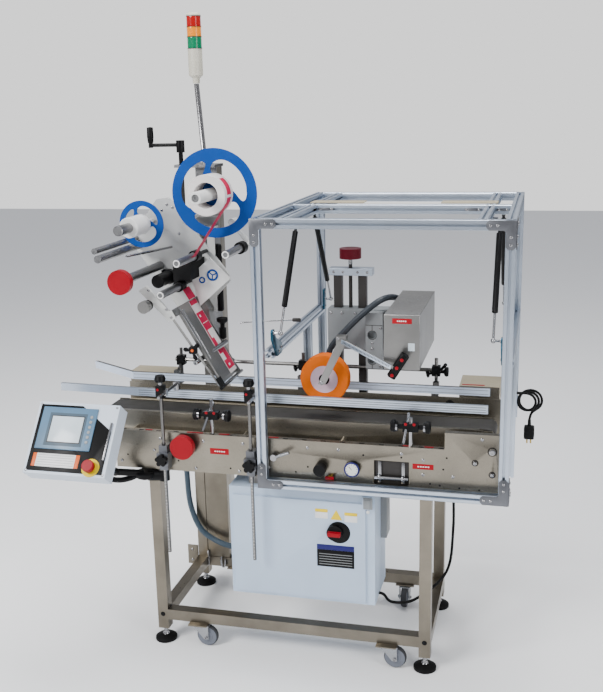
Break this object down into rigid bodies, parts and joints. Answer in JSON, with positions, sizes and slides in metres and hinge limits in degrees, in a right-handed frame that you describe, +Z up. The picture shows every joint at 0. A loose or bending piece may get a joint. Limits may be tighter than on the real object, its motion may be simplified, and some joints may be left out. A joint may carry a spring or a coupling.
{
  "type": "carton sealer machine",
  "caption": "Carton label sealer: wheeled stand, belt conveyor with guide rails, tilted label head, press wheel, extrusion guard with gas struts, control panel, cabinet and stack light.",
  "frame": {"origin": "centre of the bounding box of the machine without its free mains cord, on the floor under the leveling feet", "axes": "+X along the conveyor from infeed to outfeed, +Y from the operator towards the back, +Z up"},
  "size_m": [1.6301, 1.1042, 2.15],
  "materials": {
    "aluminium": "satin anodised",
    "belt": "matte",
    "black_plastic": "matte",
    "blue_plastic": "gloss",
    "bright_steel": "polished",
    "cabinet_paint": "satin powder coat",
    "dark_steel": "dark satin",
    "grey_rubber": "matte",
    "head_paint": "satin",
    "label_paper": "matte",
    "orange_foam": "soft foam",
    "red_plastic": "gloss",
    "satin_steel": "satin",
    "stainless": "brushed",
    "white_plastic": "satin"
  },
  "bodies": {
    "machine_base": {"stand_frame": "stainless", "conveyor_front_plate": "stainless", "conveyor_rear_plate": "stainless", "belt_bed": "stainless", "conveyor_belt": "belt", "rear_guide_rail": "aluminium", "guard_frame": "aluminium", "mast": "satin_steel", "stack_light": "white_plastic", "press_column": "dark_steel", "cabinet_body": "cabinet_paint", "power_cord": "black_plastic", "cord_coil": "black_plastic", "power_plug": "black_plastic"},
    "caster_fork_front_left": {"caster_fork_front_left": "bright_steel"},
    "caster_wheel_front_left": {"caster_wheel_front_left": "grey_rubber"},
    "caster_fork_front_right": {"caster_fork_front_right": "bright_steel"},
    "caster_wheel_front_right": {"caster_wheel_front_right": "grey_rubber"},
    "caster_fork_rear_left": {"caster_fork_rear_left": "bright_steel"},
    "caster_wheel_rear_left": {"caster_wheel_rear_left": "grey_rubber"},
    "caster_fork_rear_right": {"caster_fork_rear_right": "bright_steel"},
    "caster_wheel_rear_right": {"caster_wheel_rear_right": "grey_rubber"},
    "outfeed_roller": {"outfeed_roller": "satin_steel"},
    "infeed_roller": {"infeed_roller": "satin_steel"},
    "front_guide_rail": {"front_guide_rail": "bright_steel"},
    "star_knob_infeed": {"star_knob_infeed": "black_plastic"},
    "star_knob_guard": {"star_knob_guard": "black_plastic"},
    "side_adjust_knob": {"side_adjust_knob": "red_plastic"},
    "regulator_knob": {"regulator_knob": "black_plastic"},
    "clamp_lever": {"clamp_lever": "bright_steel"},
    "front_guard_door": {"front_guard_door": "aluminium"},
    "rear_guard_lid": {"rear_guard_lid": "aluminium"},
    "strut_rod_front_left": {"strut_rod_front_left": "bright_steel"},
    "strut_cylinder_front_left": {"strut_cylinder_front_left": "black_plastic"},
    "strut_rod_rear_left": {"strut_rod_rear_left": "bright_steel"},
    "strut_cylinder_rear_left": {"strut_cylinder_rear_left": "black_plastic"},
    "strut_rod_front_right": {"strut_rod_front_right": "bright_steel"},
    "strut_cylinder_front_right": {"strut_cylinder_front_right": "black_plastic"},
    "strut_rod_rear_right": {"strut_rod_rear_right": "bright_steel"},
    "strut_cylinder_rear_right": {"strut_cylinder_rear_right": "black_plastic"},
    "label_head": {"head_plate": "head_paint", "peel_table": "satin_steel"},
    "crank_handle": {"crank_handle": "black_plastic"},
    "crank_grip": {"crank_grip": "black_plastic"},
    "unwind_reel": {"unwind_reel": "blue_plastic", "label_roll": "label_paper"},
    "rewind_reel": {"rewind_reel": "blue_plastic"},
    "drive_roller": {"drive_roller": "red_plastic"},
    "guide_roller_upper": {"guide_roller_upper": "satin_steel"},
    "guide_roller_lower": {"guide_roller_lower": "satin_steel"},
    "dancer_arm": {"dancer_arm": "satin_steel"},
    "press_carriage": {"press_carriage": "head_paint", "press_motor_box": "stainless"},
    "press_height_knob": {"press_height_knob": "red_plastic"},
    "press_arm": {"press_arm": "satin_steel"},
    "press_wheel": {"press_wheel": "orange_foam"},
    "control_panel": {"control_panel": "cabinet_paint"},
    "estop_button": {"estop_button": "red_plastic"},
    "cabinet_door": {"cabinet_door": "cabinet_paint"},
    "disconnect_switch": {"disconnect_switch": "black_plastic"}
  },
  "joints": [
    {"name": "caster_swivel_front_left", "type": "hinge", "parent": "machine_base", "child": "caster_fork_front_left", "pos_m": [-0.2715, -0.27658, 0.06], "axis": [0, 0, 1], "continuous": true},
    {"name": "caster_spin_front_left", "type": "hinge", "parent": "caster_fork_front_left", "child": "caster_wheel_front_left", "pos_m": [-0.2435, -0.27658, 0.0375], "axis": [0, 1, 0], "continuous": true},
    {"name": "caster_swivel_front_right", "type": "hinge", "parent": "machine_base", "child": "caster_fork_front_right", "pos_m": [0.3855, -0.27658, 0.06], "axis": [0, 0, 1], "continuous": true},
    {"name": "caster_spin_front_right", "type": "hinge", "parent": "caster_fork_front_right", "child": "caster_wheel_front_right", "pos_m": [0.4135, -0.27658, 0.0375], "axis": [0, 1, 0], "continuous": true},
    {"name": "caster_swivel_rear_left", "type": "hinge", "parent": "machine_base", "child": "caster_fork_rear_left", "pos_m": [-0.2715, 0.15542, 0.06], "axis": [0, 0, 1], "continuous": true},
    {"name": "caster_spin_rear_left", "type": "hinge", "parent": "caster_fork_rear_left", "child": "caster_wheel_rear_left", "pos_m": [-0.24725, 0.16942, 0.0375], "axis": [-0.5, 0.866, 0], "continuous": true},
    {"name": "caster_swivel_rear_right", "type": "hinge", "parent": "machine_base", "child": "caster_fork_rear_right", "pos_m": [0.3875, 0.15542, 0.06], "axis": [0, 0, 1], "continuous": true},
    {"name": "caster_spin_rear_right", "type": "hinge", "parent": "caster_fork_rear_right", "child": "caster_wheel_rear_right", "pos_m": [0.3875, 0.12742, 0.0375], "axis": [1, 0, 0], "continuous": true},
    {"name": "outfeed_roller_spin", "type": "hinge", "parent": "machine_base", "child": "outfeed_roller", "pos_m": [0.6965, -0.14058, 0.7986], "axis": [0, 1, 0], "continuous": true},
    {"name": "infeed_roller_spin", "type": "hinge", "parent": "machine_base", "child": "infeed_roller", "pos_m": [-0.5985, -0.14058, 0.7986], "axis": [0, 1, 0], "continuous": true},
    {"name": "front_rail_height", "type": "slide", "parent": "machine_base", "child": "front_guide_rail", "axis": [0, 0, 1], "range_m": [-0.05, 0]},
    {"name": "star_knob_turn_infeed", "type": "hinge", "parent": "machine_base", "child": "star_knob_infeed", "pos_m": [-0.3415, -0.36458, 0.708], "axis": [0, 1, 0], "range_deg": [-180, 180]},
    {"name": "star_knob_turn_guard", "type": "hinge", "parent": "machine_base", "child": "star_knob_guard", "pos_m": [-0.0435, -0.36458, 0.708], "axis": [0, 1, 0], "range_deg": [-180, 180]},
    {"name": "side_adjust_turn", "type": "hinge", "parent": "machine_base", "child": "side_adjust_knob", "pos_m": [-0.2755, -0.33458, 0.749], "axis": [0, 1, 0], "range_deg": [-720, 720]},
    {"name": "regulator_turn", "type": "hinge", "parent": "machine_base", "child": "regulator_knob", "pos_m": [0.1815, -0.33458, 0.703], "axis": [0, 1, 0], "range_deg": [-135, 135]},
    {"name": "clamp_lever_turn", "type": "hinge", "parent": "machine_base", "child": "clamp_lever", "pos_m": [0.0285, -0.32958, 0.73], "axis": [0, 1, 0], "range_deg": [-55, 40]},
    {"name": "front_door_hinge", "type": "hinge", "parent": "machine_base", "child": "front_guard_door", "pos_m": [0.3735, 0.06292, 1.495], "axis": [-1, 0, 0], "range_deg": [0, 80]},
    {"name": "rear_lid_hinge", "type": "hinge", "parent": "machine_base", "child": "rear_guard_lid", "pos_m": [0.3735, 0.51642, 1.495], "axis": [-1, 0, 0], "range_deg": [0, 70]},
    {"name": "strut_rod_pivot_front_left", "type": "hinge", "parent": "machine_base", "child": "strut_rod_front_left", "pos_m": [0.0425, -0.25458, 1.122], "axis": [-1, 0, 0], "range_deg": [-9.25, 0]},
    {"name": "strut_stroke_front_left", "type": "slide", "parent": "strut_rod_front_left", "child": "strut_cylinder_front_left", "axis": [0, 0.5954, 0.8035], "range_m": [0, 0.13034]},
    {"name": "strut_rod_pivot_rear_left", "type": "hinge", "parent": "machine_base", "child": "strut_rod_rear_left", "pos_m": [0.0425, 0.49342, 1.086], "axis": [-1, 0, 0], "range_deg": [0, 25.42]},
    {"name": "strut_stroke_rear_left", "type": "slide", "parent": "strut_rod_rear_left", "child": "strut_cylinder_rear_left", "axis": [0, -0.5819, 0.8133], "range_m": [0, 0.228]},
    {"name": "strut_rod_pivot_front_right", "type": "hinge", "parent": "machine_base", "child": "strut_rod_front_right", "pos_m": [0.7045, -0.25458, 1.122], "axis": [-1, 0, 0], "range_deg": [-9.25, 0]},
    {"name": "strut_stroke_front_right", "type": "slide", "parent": "strut_rod_front_right", "child": "strut_cylinder_front_right", "axis": [0, 0.5954, 0.8035], "range_m": [0, 0.13034]},
    {"name": "strut_rod_pivot_rear_right", "type": "hinge", "parent": "machine_base", "child": "strut_rod_rear_right", "pos_m": [0.7045, 0.49342, 1.086], "axis": [-1, 0, 0], "range_deg": [0, 25.42]},
    {"name": "strut_stroke_rear_right", "type": "slide", "parent": "strut_rod_rear_right", "child": "strut_cylinder_rear_right", "axis": [0, -0.5819, 0.8133], "range_m": [0, 0.228]},
    {"name": "head_lift", "type": "slide", "parent": "machine_base", "child": "label_head", "axis": [0, 0, 1], "range_m": [0, 0.12]},
    {"name": "crank_turn", "type": "hinge", "parent": "machine_base", "child": "crank_handle", "pos_m": [-0.4205, 0.15542, 1.69], "axis": [0, 0, 1], "range_deg": [0, 4320]},
    {"name": "crank_grip_spin", "type": "hinge", "parent": "crank_handle", "child": "crank_grip", "pos_m": [-0.5325, 0.15542, 1.73], "axis": [0, 0, 1], "continuous": true},
    {"name": "unwind_spin", "type": "hinge", "parent": "label_head", "child": "unwind_reel", "pos_m": [-0.2115, -0.10458, 1.548], "axis": [0, 1, 0], "continuous": true},
    {"name": "rewind_spin", "type": "hinge", "parent": "label_head", "child": "rewind_reel", "pos_m": [-0.4785, -0.09458, 1.444], "axis": [0, 1, 0], "continuous": true},
    {"name": "drive_roller_spin", "type": "hinge", "parent": "label_head", "child": "drive_roller", "pos_m": [-0.4595, -0.18458, 1.288], "axis": [0, 1, 0], "continuous": true},
    {"name": "guide_roller_upper_spin", "type": "hinge", "parent": "label_head", "child": "guide_roller_upper", "pos_m": [-0.2865, -0.18458, 1.342], "axis": [0, 1, 0], "continuous": true},
    {"name": "guide_roller_lower_spin", "type": "hinge", "parent": "label_head", "child": "guide_roller_lower", "pos_m": [-0.3475, -0.18458, 1.238], "axis": [0, 1, 0], "continuous": true},
    {"name": "dancer_swing", "type": "hinge", "parent": "label_head", "child": "dancer_arm", "pos_m": [-0.1775, -0.01658, 1.446], "axis": [0, 1, 0], "range_deg": [-15, 15]},
    {"name": "press_height", "type": "slide", "parent": "machine_base", "child": "press_carriage", "axis": [0, 0, 1], "range_m": [-0.02, 0.09]},
    {"name": "press_knob_turn", "type": "hinge", "parent": "machine_base", "child": "press_height_knob", "pos_m": [0.2105, 0.04542, 1.34], "axis": [0, 0, 1], "range_deg": [-720, 3240]},
    {"name": "press_arm_swing", "type": "hinge", "parent": "press_carriage", "child": "press_arm", "pos_m": [0.4265, -0.31458, 1.048], "axis": [0, 1, 0], "range_deg": [0, 12]},
    {"name": "press_wheel_spin", "type": "hinge", "parent": "press_arm", "child": "press_wheel", "pos_m": [0.1615, -0.14458, 0.951], "axis": [0, 1, 0], "continuous": true},
    {"name": "panel_swing", "type": "hinge", "parent": "machine_base", "child": "control_panel", "pos_m": [-0.4205, -0.31658, 0.64], "axis": [0, 0, 1], "range_deg": [-10, 25]},
    {"name": "estop_push", "type": "slide", "parent": "control_panel", "child": "estop_button", "axis": [0, 0.7807, -0.6249], "range_m": [0, 0.004], "stiffness_N_per_m": 800},
    {"name": "cabinet_door_hinge", "type": "hinge", "parent": "machine_base", "child": "cabinet_door", "pos_m": [-0.1425, -0.28858, 0.413], "axis": [0, 0, -1], "range_deg": [0, 12]},
    {"name": "disconnect_turn", "type": "hinge", "parent": "cabinet_door", "child": "disconnect_switch", "pos_m": [0.2195, -0.30858, 0.475], "axis": [0, 1, 0], "range_deg": [0, 90]}
  ],
  "couplings": [
    {"joint": "infeed_roller_spin", "follows": "outfeed_roller_spin", "ratio": 1},
    {"joint": "strut_rod_pivot_front_left", "follows": "front_door_hinge", "ratio": -0.11333},
    {"joint": "strut_stroke_front_left", "follows": "front_door_hinge", "m_per_rad": 0.092425},
    {"joint": "strut_rod_pivot_rear_left", "follows": "rear_lid_hinge", "ratio": 0.35607},
    {"joint": "strut_stroke_rear_left", "follows": "rear_lid_hinge", "m_per_rad": 0.18477},
    {"joint": "strut_rod_pivot_front_right", "follows": "front_door_hinge", "ratio": -0.11333},
    {"joint": "strut_stroke_front_right", "follows": "front_door_hinge", "m_per_rad": 0.092425},
    {"joint": "strut_rod_pivot_rear_right", "follows": "rear_lid_hinge", "ratio": 0.35607},
    {"joint": "strut_stroke_rear_right", "follows": "rear_lid_hinge", "m_per_rad": 0.18477},
    {"joint": "crank_turn", "follows": "head_lift", "rad_per_m": 628.32},
    {"joint": "press_knob_turn", "follows": "press_height", "rad_per_m": 628.32}
  ]
}
